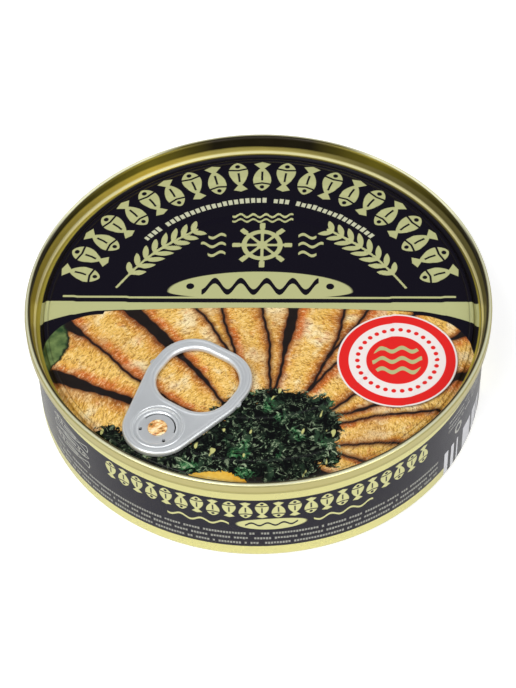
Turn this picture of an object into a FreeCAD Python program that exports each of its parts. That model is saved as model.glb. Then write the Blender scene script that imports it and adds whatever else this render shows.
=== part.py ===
"""Round shallow fish tin with an easy-open end and a ring pull.

One drawn can body, one seamed end and one riveted pull tab. Millimetres, +Z up, the tin stands
on z = 0 and its axis is the Z axis. -Y is the front of the label.
"""
import FreeCAD
import Part

import math
import os

from FreeCAD import Vector

# ---- driving dimensions of the tin -----------------------------------------------------------
SEAM_RADIUS = 51.15          # outside of the double seam
TIN_HEIGHT = 27.4            # base to the top of the seam
SEAM_HEIGHT = 2.9            # length of the double seam down the outside
SEAM_THICKNESS = 1.4         # across the seam at its top
SEAM_STANDOFF = 1.3          # how far the seam stands out from the body wall
SEAM_FOOT_ROUND = 0.35       # rounding of the seam's lower outside edge

SHEET = 0.25                 # thickness of the end's sheet

BASE_ROUND = 2.0             # outside corner between wall and base
FOOT_WIDTH = 1.9             # flat ring that the tin stands on
BASE_RECESS = 0.8            # height of the base panel above the foot
BASE_SLOPE = 1.2             # radial run of the slope between foot and base panel
BASE_BEAD_RADIUS = 30.0      # middle of the stiffening bead in the base
BASE_BEAD_WIDTH = 3.0
BASE_BEAD_DEPTH = 0.5

# ---- the easy-open end -----------------------------------------------------------------------
PANEL_DEPTH = 4.6            # seam top down to the outer panel
CHUCK_LEAN = 0.85            # how far the chuck wall leans in on its way down
SINK_DEPTH = 0.7             # countersink below the outer panel
SINK_WIDTH = 1.5             # across the countersink groove
PANEL_EDGE_ROUND = 0.3
SCORE_INSET = 0.95           # panel edge to the middle of the score line
SCORE_WIDTH = 0.36
SCORE_DEPTH = 0.12
PANEL_STEP = 0.2             # each of the two shallow steps down towards the middle
STEP_RUN = 0.8               # radial run of one step
OUTER_STEP_RADIUS = 41.0
INNER_STEP_RADIUS = 29.5

# ---- the pull tab, in its own plan: x from the rivet towards the ring, y across ----------------
TAB_AZIMUTH = 238.0          # direction from the tin's axis to the rivet, degrees
TAB_NOSE_GAP = 0.25          # nose tip to the middle of the score line
TAB_THICKNESS = 1.4
TAB_EDGE_ROUND = 0.55        # curled rim of the tab
NOSE_RADIUS = 7.75
NOSE_OFFSET = 0.4            # centre of the nose arc from the rivet
SHOULDER_RADIUS = 9.5
SHOULDER_OFFSET = 13.6
RING_HALF_WIDTH = 11.15
RING_CORNER_RADIUS = 8.5
RING_END = 25.5              # rivet to the far end of the ring
RING_BAND = 2.65             # width of the ring's bar around the finger hole
HOLE_LENGTH = 15.6
HOLE_CORNER_RADIUS = 6.5
NUB_RADIUS = 0.45            # cut-off nubs left on both sides
NUB_OFFSET = 14.2

WELL_RADIUS = 5.2            # sunken well around the rivet
WELL_OFFSET = -0.2
WELL_FLOOR = 0.55            # thickness left under the well
TONGUE_SLOT_RADIUS = 3.75    # C-shaped slot that frees the rivet's tongue
TONGUE_SLOT_WIDTH = 0.3
TONGUE_SLOT_HALF_ANGLE = 78.0
PIN_HOLE_RADIUS = 0.4
PIN_HOLE_X = -2.1
PIN_HOLE_Y = 3.0

RIVET_SHANK_RADIUS = 1.55
RIVET_HEAD_RADIUS = 2.1
RIVET_HEAD_HEIGHT = 0.4
RIVET_CLEARANCE = 0.05       # shank to the tab's hole
COIN_MARGIN = 0.5            # raised coin under the tongue, beyond the rivet head

# ---- worked out from the sizes above ---------------------------------------------------------
body_radius = SEAM_RADIUS - SEAM_STANDOFF
seam_foot_z = TIN_HEIGHT - SEAM_HEIGHT
seam_inner_radius = SEAM_RADIUS - SEAM_THICKNESS
seam_round = SEAM_THICKNESS / 2
outer_panel_z = TIN_HEIGHT - PANEL_DEPTH
middle_panel_z = outer_panel_z - PANEL_STEP
inner_panel_z = middle_panel_z - PANEL_STEP
sink_z = outer_panel_z - SINK_DEPTH
sink_outer_radius = seam_inner_radius - CHUCK_LEAN
panel_radius = sink_outer_radius - SINK_WIDTH
score_radius = panel_radius - SCORE_INSET
nose_reach = NOSE_RADIUS - NOSE_OFFSET
rivet_radius_from_axis = score_radius - TAB_NOSE_GAP - nose_reach
tab_floor_z = outer_panel_z


def at(radius, z):
    """Point of a section in the XZ plane."""
    return Vector(radius, 0, z)


def path_edges(steps):
    """Edges through the steps: a point is reached by a line, a pair (via, end) by an arc."""
    edges = []
    here = steps[0]
    for step in steps[1:]:
        if isinstance(step, tuple):
            via, end = step
            edges.append(Part.Arc(here, via, end).toShape())
            here = end
        else:
            edges.append(Part.LineSegment(here, step).toShape())
            here = step
    return edges


def turned(steps):
    """Solid of revolution of a closed section around the tin's axis."""
    edges = path_edges(steps + [steps[0]])
    face = Part.Face(Part.Wire(edges))
    return face.revolve(Vector(0, 0, 0), Vector(0, 0, 1), 360)


def quarter(centre, radius, start_degrees, end_degrees):
    """(via, end) of an arc of the section, to follow its start point."""
    def on_arc(degrees):
        angle = math.radians(degrees)
        return centre + at(radius * math.cos(angle), radius * math.sin(angle))
    return on_arc((start_degrees + end_degrees) / 2), on_arc(end_degrees)


def end_surface(drop):
    """The end's sheet from the axis out to the chuck wall, `drop` below its upper face."""
    half = STEP_RUN / 2
    sink_radius = SINK_WIDTH / 2 + drop
    sink_centre = at(panel_radius + SINK_WIDTH / 2, sink_z + SINK_WIDTH / 2)
    edge_round = PANEL_EDGE_ROUND
    return [
        at(0, inner_panel_z - drop),
        at(INNER_STEP_RADIUS - half, inner_panel_z - drop),
        at(INNER_STEP_RADIUS + half, middle_panel_z - drop),
        at(OUTER_STEP_RADIUS - half, middle_panel_z - drop),
        at(OUTER_STEP_RADIUS + half, outer_panel_z - drop),
        at(panel_radius - drop - edge_round, outer_panel_z - drop),
        at(panel_radius - drop, outer_panel_z - drop - edge_round),
        at(panel_radius - drop, sink_centre.z),
        quarter(sink_centre, sink_radius, 180, 360),
    ]


def tin_body():
    """Drawn can: base with a foot ring, straight wall, closed by the end above."""
    foot_outer = body_radius - BASE_ROUND
    foot_inner = foot_outer - FOOT_WIDTH
    bead = BASE_BEAD_WIDTH / 2
    bead_centre_z = BASE_RECESS - BASE_BEAD_DEPTH
    base = [
        at(0, BASE_RECESS),
        at(BASE_BEAD_RADIUS - bead, BASE_RECESS),
        (at(BASE_BEAD_RADIUS, bead_centre_z), at(BASE_BEAD_RADIUS + bead, BASE_RECESS)),
        at(foot_inner - BASE_SLOPE, BASE_RECESS),
        at(foot_inner, 0),
        at(foot_outer, 0),
        quarter(at(foot_outer, BASE_ROUND), BASE_ROUND, -90, 0),
        at(body_radius, seam_foot_z),
    ]
    under_end = end_surface(SHEET)
    wall_inside = chuck_outside(seam_foot_z)
    return turned(base + [wall_inside] + backwards(under_end))


def chuck_outside(z):
    """Outer face of the chuck wall's sheet at height z."""
    lean_start = TIN_HEIGHT - seam_round
    foot = sink_z + SINK_WIDTH / 2
    share = (lean_start - z) / (lean_start - foot)
    return at(seam_inner_radius + SHEET - CHUCK_LEAN * share, z)


def backwards(steps):
    """The same path walked from its other end."""
    points = [step[1] if isinstance(step, tuple) else step for step in steps]
    result = [points[-1]]
    for index in range(len(steps) - 1, 0, -1):
        previous = points[index - 1]
        if isinstance(steps[index], tuple):
            result.append((steps[index][0], previous))
        else:
            result.append(previous)
    return result


def lid():
    """Easy-open end: double seam, chuck wall, countersink, stepped panel, score line, rivet."""
    seam_centre = at(SEAM_RADIUS - seam_round, TIN_HEIGHT - seam_round)
    foot_round = SEAM_FOOT_ROUND
    foot_centre = at(SEAM_RADIUS - foot_round, seam_foot_z + foot_round)
    upper = end_surface(0)
    section = upper + [
        at(seam_inner_radius, seam_centre.z),
        quarter(seam_centre, seam_round, 180, 0),
        at(SEAM_RADIUS, foot_centre.z),
        quarter(foot_centre, foot_round, 0, -90),
        at(body_radius, seam_foot_z),
        chuck_outside(seam_foot_z),
    ] + backwards(end_surface(SHEET))
    end = turned(section)
    half = SCORE_WIDTH / 2
    score = turned([
        at(score_radius - half, outer_panel_z),
        at(score_radius, outer_panel_z - SCORE_DEPTH),
        at(score_radius + half, outer_panel_z),
    ])
    end = end.cut(score)
    return end.fuse(rivet()).removeSplitter()


def rivet():
    """Coin, shank and head that hold the tab, formed from the end's own sheet."""
    centre = rivet_place()
    coin_radius = RIVET_HEAD_RADIUS + COIN_MARGIN
    coin_low = middle_panel_z - SHEET / 2
    coin = Part.makeCylinder(coin_radius, tab_floor_z - coin_low, centre + Vector(0, 0, coin_low))
    shank_top = tab_floor_z + WELL_FLOOR
    shank = Part.makeCylinder(
        RIVET_SHANK_RADIUS, shank_top - coin_low, centre + Vector(0, 0, coin_low))
    head = Part.makeCylinder(
        RIVET_HEAD_RADIUS, RIVET_HEAD_HEIGHT, centre + Vector(0, 0, shank_top))
    rim = [edge for edge in head.Edges if abs(edge.BoundBox.ZMin - head.BoundBox.ZMax) < 1e-6]
    head = head.makeFillet(RIVET_HEAD_HEIGHT / 2, rim)
    return coin.fuse(shank).fuse(head)


def rivet_place():
    """Middle of the rivet in plan."""
    angle = math.radians(TAB_AZIMUTH)
    return Vector(rivet_radius_from_axis * math.cos(angle),
                  rivet_radius_from_axis * math.sin(angle), 0)


def belt(circles):
    """Closed wire of arcs and tangent lines round circles (x, y, radius), counter-clockwise."""
    count = len(circles)
    tangents = []
    for index in range(count):
        x0, y0, r0 = circles[index]
        x1, y1, r1 = circles[(index + 1) % count]
        reach = math.hypot(x1 - x0, y1 - y0)
        along = math.atan2(y1 - y0, x1 - x0)
        normal = along - math.acos((r0 - r1) / reach)
        tangents.append(normal)
    edges = []
    for index in range(count):
        x0, y0, r0 = circles[index]
        x1, y1, r1 = circles[(index + 1) % count]
        arrive = tangents[index - 1]
        leave = tangents[index]
        while leave < arrive:
            leave += 2 * math.pi
        middle = (arrive + leave) / 2
        arc_points = [Vector(x0 + r0 * math.cos(angle), y0 + r0 * math.sin(angle), 0)
                      for angle in (arrive, middle, leave)]
        edges.append(Part.Arc(*arc_points).toShape())
        landing = Vector(x1 + r1 * math.cos(leave), y1 + r1 * math.sin(leave), 0)
        edges.append(Part.LineSegment(arc_points[2], landing).toShape())
    return Part.Wire(edges)


def slab(wire, thickness, z=0.0):
    """Flat plate of the wire's outline."""
    face = Part.Face(wire)
    face.translate(Vector(0, 0, z))
    return face.extrude(Vector(0, 0, thickness))


def tab_outline():
    """Nose, shoulders and the squarish ring of the tab."""
    shoulder_y = RING_HALF_WIDTH - SHOULDER_RADIUS
    corner_y = RING_HALF_WIDTH - RING_CORNER_RADIUS
    corner_x = RING_END - RING_CORNER_RADIUS
    return belt([
        (NOSE_OFFSET, 0, NOSE_RADIUS),
        (SHOULDER_OFFSET, -shoulder_y, SHOULDER_RADIUS),
        (corner_x, -corner_y, RING_CORNER_RADIUS),
        (corner_x, corner_y, RING_CORNER_RADIUS),
        (SHOULDER_OFFSET, shoulder_y, SHOULDER_RADIUS),
    ])


def finger_hole():
    """Rounded hole of the ring, one ring band inside the outline."""
    radius = HOLE_CORNER_RADIUS
    far_x = RING_END - RING_BAND - radius
    near_x = RING_END - RING_BAND - HOLE_LENGTH + radius
    half_y = RING_HALF_WIDTH - RING_BAND - radius
    return belt([
        (near_x, -half_y, radius),
        (far_x, -half_y, radius),
        (far_x, half_y, radius),
        (near_x, half_y, radius),
    ])


def rim_edges(shape, z_low, z_high):
    """Edges that lie in the lower or upper face of a plate."""
    found = []
    for edge in shape.Edges:
        box = edge.BoundBox
        for level in (z_low, z_high):
            if abs(box.ZMin - level) < 1e-6 and abs(box.ZMax - level) < 1e-6:
                found.append(edge)
    return found


def tongue_slot():
    """C-shaped cut on the ring side of the rivet."""
    inner = TONGUE_SLOT_RADIUS - TONGUE_SLOT_WIDTH / 2
    outer = TONGUE_SLOT_RADIUS + TONGUE_SLOT_WIDTH / 2
    half_angle = math.radians(TONGUE_SLOT_HALF_ANGLE)

    def spot(radius, angle):
        return Vector(radius * math.cos(angle), radius * math.sin(angle), 0)

    edges = [
        Part.Arc(spot(outer, -half_angle), spot(outer, 0), spot(outer, half_angle)).toShape(),
        Part.LineSegment(spot(outer, half_angle), spot(inner, half_angle)).toShape(),
        Part.Arc(spot(inner, half_angle), spot(inner, 0), spot(inner, -half_angle)).toShape(),
        Part.LineSegment(spot(inner, -half_angle), spot(outer, -half_angle)).toShape(),
    ]
    return slab(Part.Wire(edges), TAB_THICKNESS)


def pull_tab():
    """Ring pull: curled rim, finger hole, sunken well with tongue slot, nose over the score."""
    plate = slab(tab_outline(), TAB_THICKNESS).cut(slab(finger_hole(), TAB_THICKNESS))
    edge_round = min(TAB_EDGE_ROUND, 0.45 * TAB_THICKNESS)
    plate = plate.makeFillet(edge_round, rim_edges(plate, 0, TAB_THICKNESS))
    well_depth = TAB_THICKNESS - WELL_FLOOR
    well = Part.makeCone(
        WELL_RADIUS - well_depth / 2, WELL_RADIUS, well_depth, Vector(WELL_OFFSET, 0, WELL_FLOOR))
    plate = plate.cut(well)
    plate = plate.cut(tongue_slot())
    for side in (-1, 1):
        pin = Vector(PIN_HOLE_X, side * PIN_HOLE_Y, 0)
        plate = plate.cut(Part.makeCylinder(PIN_HOLE_RADIUS, WELL_FLOOR, pin))
    plate = plate.cut(Part.makeCylinder(RIVET_SHANK_RADIUS + RIVET_CLEARANCE, WELL_FLOOR))
    for side in (-1, 1):
        nub_foot = Vector(NUB_OFFSET, side * (RING_HALF_WIDTH - NUB_RADIUS), edge_round)
        nub_height = TAB_THICKNESS - 2 * edge_round
        nub = Part.makeCylinder(NUB_RADIUS * 2, nub_height, nub_foot)
        plate = plate.fuse(nub)
    plate = plate.removeSplitter()
    plate.rotate(Vector(0, 0, 0), Vector(0, 0, 1), TAB_AZIMUTH + 180)
    plate.translate(rivet_place() + Vector(0, 0, tab_floor_z))
    return plate


def main():
    os.makedirs("parts", exist_ok=True)
    for make in (tin_body, lid, pull_tab):
        shape = make()
        if not shape.isValid() or len(shape.Solids) != 1:
            raise SystemExit(make.__name__ + " is not one valid solid")
        box = shape.BoundBox
        print(make.__name__, "volume", round(shape.Volume, 1),
              "box", [round(value, 2) for value in (box.XMin, box.YMin, box.ZMin,
                                                    box.XMax, box.YMax, box.ZMax)])
        shape.Solids[0].exportStep("parts/" + make.__name__ + ".step")


main()
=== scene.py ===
"""Looks of a shut tin of sprats: printed drawn can, gold-lacquered easy-open end, ring pull."""

import math

import bmesh
import bpy
import numpy as np
from mathutils import Matrix, Vector


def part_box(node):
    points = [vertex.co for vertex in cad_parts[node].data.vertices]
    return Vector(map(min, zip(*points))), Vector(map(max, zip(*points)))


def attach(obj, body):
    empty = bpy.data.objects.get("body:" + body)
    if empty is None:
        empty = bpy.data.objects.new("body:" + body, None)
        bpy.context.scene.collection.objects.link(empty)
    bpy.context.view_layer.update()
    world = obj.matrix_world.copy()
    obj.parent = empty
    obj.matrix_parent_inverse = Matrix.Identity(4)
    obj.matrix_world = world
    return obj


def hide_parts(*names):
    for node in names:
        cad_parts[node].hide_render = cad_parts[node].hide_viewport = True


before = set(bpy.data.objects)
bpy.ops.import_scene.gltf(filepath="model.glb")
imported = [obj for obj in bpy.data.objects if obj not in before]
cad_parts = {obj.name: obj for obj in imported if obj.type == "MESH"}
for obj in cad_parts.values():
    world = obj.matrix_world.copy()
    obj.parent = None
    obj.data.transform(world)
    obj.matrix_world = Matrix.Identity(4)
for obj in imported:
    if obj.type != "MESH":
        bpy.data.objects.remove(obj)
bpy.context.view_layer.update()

# ---- the tin's sizes, in millimetres ---------------------------------------------------------
MM = 0.001
body_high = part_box("tin_body")[1]
lid_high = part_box("lid")[1]
tab_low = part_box("pull_tab")[0]
BODY_R = body_high.x / MM                    # outside of the body wall
SEAM_R = lid_high.x / MM                     # outside of the double seam
TOP = lid_high.z / MM                        # top of the seam
SEAM_FOOT = body_high.z / MM                 # lower edge of the seam
PANEL = tab_low.z / MM                       # level of the outer panel, where the tab lies

SEAM_THICK = 1.4
SINK_DEPTH = 0.7                             # countersink, down from the panel
SINK_WIDTH = 1.5
CHUCK_LEAN = 0.85                            # how far the chuck wall leans in
SINK_OUTER = SEAM_R - SEAM_THICK - CHUCK_LEAN
PANEL_R = SINK_OUTER - SINK_WIDTH
SCORE_R = PANEL_R - 0.95
SCORE_HALF = 0.18
SCORE_DEPTH = 0.12
STEP_DROP = 0.2                              # each of the panel's two shallow steps
OUTER_STEP = 41.0
INNER_STEP = 29.5
STEP_RUN = 0.8

BASE_ROUND = 2.0                             # bend between base and wall
FOOT_WIDTH = 1.9
BASE_RECESS = 0.8
BASE_SLOPE = 1.2
BEAD_R = 30.0
BEAD_HALF = 1.5
BEAD_DEPTH = 0.5

TAB_AZIMUTH = math.radians(238)              # from the tin's middle to the rivet
NOSE_R = 7.75                                # the tab is drawn along x, from its rivet outwards
NOSE_X = 0.4
SHOULDER_R = 9.5
SHOULDER_X = 13.6
RING_HALF = 11.15
RING_CORNER = 8.5
RING_END = 25.5
RING_BAND = 2.65
HOLE_LENGTH = 15.6
HOLE_CORNER = 6.5
TAB_THICK = 1.4
NUB_X = 14.2
NUB_R = 0.9
WELL_X = -0.2
WELL_FLOOR = 0.55
TONGUE_R = 3.75
PIN_R = 0.4
PIN_X = -2.1
PIN_Y = 3.0
SHANK_R = 1.55
RIVET_R = 2.1
RIVET_TALL = 0.4
RIVET_OUT = SCORE_R - 0.25 - (NOSE_R - NOSE_X)
RIVET_X = RIVET_OUT * math.cos(TAB_AZIMUTH)
RIVET_Y = RIVET_OUT * math.sin(TAB_AZIMUTH)

ROUND_SIDES = 360                            # faces round the can and the rim
PANEL_GRID = 256                             # faces along each side of the panel's grid

# ---- the print, in millimetres ----------------------------------------------------------------
EDGE_Y = 3.0                                 # straight edge between dark field and khaki band
BAND_DEEP = 1.5                              # khaki band at its middle
BAND_BOW = 0.0009                            # droop of its lower edge, times x squared
FRAME_CORNER = (34.3, -13.5, 12.8)           # rounded corners of the picture: x, y, radius
FRAME_SIDE = 47.1
LABEL_TOP = 6.6                              # dark field of the label, down from the seam's top
LABEL_LOW = 23.1
LEMON = (-9.0, -51.5, 9.0)                   # slice under the herbs: x, y, radius
BUNCH_AT = (5.5, -34.0)                      # middle of the bunch of herbs
SEAL_AT = (30.3, -13.5)
WHEEL_AT = (0.4, 20.3)

INK = (0.0040, 0.0030, 0.0075)
SIDE_INK = (0.009, 0.0075, 0.015)
KHAKI = (0.42, 0.43, 0.205)
GOLD = (0.70, 0.66, 0.284)


# ---- modelling helpers ------------------------------------------------------------------------
def clear_selection():
    """Leaves edit mode with nothing selected."""
    if bpy.context.mode != "OBJECT":
        bpy.ops.object.mode_set(mode="OBJECT")
    bpy.ops.object.select_all(action="DESELECT")


def pick(piece):
    """Makes a piece the active one and the only one selected."""
    clear_selection()
    piece.select_set(True)
    bpy.context.view_layer.objects.active = piece


def pick_parts(piece, kind, wanted):
    """Opens a piece in edit mode with only its wanted edges or faces selected."""
    pick(piece)
    bpy.ops.object.mode_set(mode="EDIT")
    bpy.ops.mesh.select_mode(type=kind)
    bpy.ops.mesh.select_all(action="DESELECT")
    mesh = bmesh.from_edit_mesh(piece.data)
    for part in mesh.edges if kind == "EDGE" else mesh.faces:
        part.select = wanted(part)
    bmesh.update_edit_mesh(piece.data)


def finished(piece, name, material, smooth_angle=35):
    """Names a piece, settles its place in its mesh and hands it to the frame."""
    pick(piece)
    bpy.ops.object.transform_apply(location=True, rotation=True, scale=True)
    bpy.ops.object.shade_smooth_by_angle(angle=math.radians(smooth_angle))
    piece.name = name
    piece.data.name = name
    piece.data.materials.clear()
    piece.data.materials.append(material)
    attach(piece, "root")
    return piece


def draw_rings(stations):
    """Extrudes the selected ring of edges from station to station (radius, height)."""
    for (radius, height), (next_radius, next_height) in zip(stations, stations[1:]):
        share = next_radius / radius
        bpy.ops.mesh.extrude_edges_move()
        bpy.ops.transform.resize(value=(share, share, 1), center_override=(0, 0, 0))
        bpy.ops.transform.translate(value=(0, 0, (next_height - height) * MM))


def select_outline():
    """Selects the loop of edges round an open sheet."""
    bpy.ops.mesh.select_mode(type="EDGE")
    bpy.ops.mesh.select_all(action="SELECT")
    bpy.ops.mesh.region_to_loop()


def turn_outwards():
    """Turns all faces outwards and leaves edit mode."""
    bpy.ops.mesh.select_all(action="SELECT")
    bpy.ops.mesh.normals_make_consistent(inside=False)
    bpy.ops.object.mode_set(mode="OBJECT")


def ring_stack(stations, sides, closed=False):
    """Circle extruded and resized from station to station: a turned shell.

    A closed stack joins its last ring to its first; an open one has both ends filled.
    """
    clear_selection()
    radius, height = stations[0]
    bpy.ops.mesh.primitive_circle_add(vertices=sides, radius=radius * MM, location=(0, 0, 0))
    piece = bpy.context.object
    bpy.ops.object.mode_set(mode="EDIT")
    bpy.ops.transform.translate(value=(0, 0, height * MM))
    if not closed:
        bpy.ops.mesh.edge_face_add()
        select_outline()
    draw_rings(stations)
    if not closed:
        bpy.ops.mesh.edge_face_add()
    bpy.ops.mesh.select_all(action="SELECT")
    bpy.ops.mesh.remove_doubles(threshold=1e-6)
    turn_outwards()
    return piece


def arc(centre_r, centre_z, radius, start, end, count):
    """Stations along an arc of the section, angles in degrees."""
    angles = np.radians(np.linspace(start, end, count))
    return [(centre_r + radius * math.cos(a), centre_z + radius * math.sin(a)) for a in angles]


def cut(piece, tool, operation="DIFFERENCE"):
    """Boolean of a piece with a tool, which is used up."""
    pick(piece)
    modifier = piece.modifiers.new("cut", "BOOLEAN")
    modifier.operation = operation
    modifier.solver = "EXACT"
    modifier.object = tool
    bpy.ops.object.modifier_apply(modifier=modifier.name)
    bpy.data.objects.remove(tool)


def prism(low, high, circles):
    """Upright prism between two heights, the hull of discs (x, y, radius)."""
    clear_selection()
    drums = []
    for x, y, radius in circles:
        bpy.ops.mesh.primitive_cylinder_add(
            vertices=96, radius=radius * MM, depth=(high - low) * MM,
            location=(x * MM, y * MM, (high + low) / 2 * MM))
        drums.append(bpy.context.object)
    pick(drums[0])
    for drum in drums:
        drum.select_set(True)
    if len(drums) > 1:
        bpy.ops.object.join()
    piece = bpy.context.object
    bpy.ops.object.transform_apply(location=True, rotation=True, scale=True)
    bpy.ops.object.mode_set(mode="EDIT")
    bpy.ops.mesh.select_all(action="SELECT")
    bpy.ops.mesh.convex_hull()
    bpy.ops.mesh.dissolve_limited(angle_limit=math.radians(0.5))
    bpy.ops.object.mode_set(mode="OBJECT")
    return piece


# ---- shader helpers ---------------------------------------------------------------------------
class Wire:
    """A number or vector flowing through a node tree, written as arithmetic."""

    def __init__(self, tree, socket):
        self.tree = tree
        self.socket = socket

    def maths(self, operation, *others, clamp=False):
        return maths(self.tree, operation, self, *others, clamp=clamp)

    def __add__(self, other):
        return self.maths("ADD", other)

    def __sub__(self, other):
        return self.maths("SUBTRACT", other)

    def __rsub__(self, other):
        return maths(self.tree, "SUBTRACT", other, self)

    def __mul__(self, other):
        return self.maths("MULTIPLY", other)

    def __truediv__(self, other):
        return self.maths("DIVIDE", other)

    def __abs__(self):
        return self.maths("ABSOLUTE")

    __radd__ = __add__


def plug(value, socket):
    """Links a wire to a socket, or sets the socket; three numbers are a colour."""
    if isinstance(value, Wire):
        value.tree.links.new(value.socket, socket)
    elif isinstance(value, tuple):
        socket.default_value = (*value, 1)
    else:
        socket.default_value = value


def new_node(tree, kind, inputs, **settings):
    """Node with its settings, and its inputs plugged by label or number."""
    node = tree.nodes.new("ShaderNode" + kind)
    for name, setting in settings.items():
        setattr(node, name, setting)
    for label, value in inputs.items():
        plug(value, node.inputs[label])
    return node


def maths(tree, operation, *values, clamp=False):
    """One Math node."""
    node = new_node(tree, "Math", dict(enumerate(values)), operation=operation, use_clamp=clamp)
    return Wire(tree, node.outputs[0])


def lowest(first, *others):
    for other in others:
        first = first.maths("MINIMUM", other)
    return first


def highest(first, *others):
    for other in others:
        first = first.maths("MAXIMUM", other)
    return first


def unit(value):
    """Value held between 0 and 1."""
    return value.maths("MAXIMUM", 0.0, clamp=True)


def above(value, threshold, gain):
    """Mask that rises from 0 at a threshold to 1, by a gain for each unit."""
    return (value - threshold).maths("MULTIPLY", gain, clamp=True)


def below(value, threshold, gain):
    """Mask that rises from 0 at a threshold to 1 as the value falls."""
    return (threshold - value).maths("MULTIPLY", gain, clamp=True)


def inked(distance, soft=0.12):
    """Mask of a signed distance in millimetres: 1 inside, 0 outside, soft at the edge."""
    return distance.maths("MULTIPLY_ADD", 1 / soft, 0.5, clamp=True)


def between(value, low, high, soft=0.12):
    """Mask of a value that lies between two limits."""
    return inked(lowest(value - low, high - value), soft)


def length_of(x, y):
    """Length of a flat vector."""
    return (x * x + y * y).maths("SQRT")


def oval(x, y, half_x, half_y):
    """Mask of an ellipse."""
    return inked((1.0 - length_of(x / half_x, y / half_y)) * half_y, 0.14)


def wave_line(x, y, pitch, swing, half_width):
    """Mask of a wavy line along x."""
    crest = (x * (2 * math.pi / pitch)).maths("SINE") * swing
    return inked(half_width - abs(y - crest), 0.14)


def ramp(value, *stops):
    """Colour ramp; a stop is (place, colour)."""
    node = new_node(value.tree, "ValToRGB", {"Fac": value})
    elements = node.color_ramp.elements
    while len(elements) < len(stops):
        elements.new(0.5)
    for element, (place, colour) in zip(elements, stops):
        element.position = place
        element.color = (*colour, 1)
    return Wire(value.tree, node.outputs["Color"])


def mixed(share, first, second):
    """Colour mix; a colour is a Wire or three numbers."""
    node = new_node(share.tree, "Mix", {0: share, 6: first, 7: second}, data_type="RGBA")
    return Wire(share.tree, node.outputs[2])


def painted(colour, *coats):
    """Colour under coats of paint, each a (mask, colour), the last on top."""
    for mask, paint in coats:
        colour = mixed(mask, colour, paint)
    return colour


def joined(tree, x, y, z=0.0):
    """Vector of three numbers."""
    return Wire(tree, new_node(tree, "CombineXYZ", {0: x, 1: y, 2: z}).outputs[0])


def parts_of(vector):
    """The three numbers of a vector."""
    node = new_node(vector.tree, "SeparateXYZ", {0: vector})
    return [Wire(vector.tree, output) for output in node.outputs]


def scaled(vector, factor):
    """Vector times a number."""
    node = new_node(vector.tree, "VectorMath", {0: vector, "Scale": factor}, operation="SCALE")
    return Wire(vector.tree, node.outputs[0])


def noise(vector, scale, detail=2.0, roughness=0.5, distortion=0.0):
    """Noise value, 0 to 1."""
    node = new_node(vector.tree, "TexNoise", {
        "Vector": vector, "Scale": scale, "Detail": detail, "Roughness": roughness,
        "Distortion": distortion})
    return Wire(vector.tree, node.outputs["Fac"])


def speckle(vector):
    """One random number for each whole-number cell."""
    node = new_node(vector.tree, "TexWhiteNoise", {"Vector": vector}, noise_dimensions="2D")
    return Wire(vector.tree, node.outputs["Value"])


def place_mm(tree):
    """Object coordinates in millimetres."""
    return scaled(Wire(tree, new_node(tree, "TexCoord", {}).outputs["Object"]), 1 / MM)


def drawn_value(tree, name):
    """A vector attribute of the mesh, as three numbers."""
    node = new_node(tree, "Attribute", {}, attribute_name=name)
    return parts_of(Wire(tree, node.outputs["Vector"]))


def new_group(name, inputs, outputs):
    """Empty shader node group: its tree, its inputs as wires and its output node.

    Its sockets hold numbers, apart from one that is called Vector.
    """
    tree = bpy.data.node_groups.new(name, "ShaderNodeTree")
    for labels, side in ((inputs, "INPUT"), (outputs, "OUTPUT")):
        for label in labels:
            kind = "NodeSocketVector" if label == "Vector" else "NodeSocketFloat"
            tree.interface.new_socket(label, in_out=side, socket_type=kind)
    entry = tree.nodes.new("NodeGroupInput")
    wires = [Wire(tree, entry.outputs[label]) for label in inputs]
    return tree, wires, tree.nodes.new("NodeGroupOutput")


def use_group(group, tree, **values):
    """Places a group in a material; values are by socket name."""
    node = new_node(tree, "Group", values, node_tree=group)
    return [Wire(tree, output) for output in node.outputs]


def new_material(name, **settings):
    """Material with a Principled BSDF; settings are constants by socket name, _ for spaces."""
    material = bpy.data.materials.new(name)
    material.use_nodes = True
    tree = material.node_tree
    shader = tree.nodes["Principled BSDF"]
    for label, value in settings.items():
        plug(value, shader.inputs[label.replace("_", " ")])
    return material, tree, shader


def feed(wire, node, label):
    """Links a wire to a node's socket."""
    plug(wire, node.inputs[label])


def bump(height, strength, depth):
    """Bump normal of a height from 0 to 1 that stands for a depth in millimetres."""
    node = new_node(height.tree, "Bump", {
        "Height": height, "Strength": strength, "Distance": depth * MM})
    return Wire(height.tree, node.outputs["Normal"])


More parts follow.
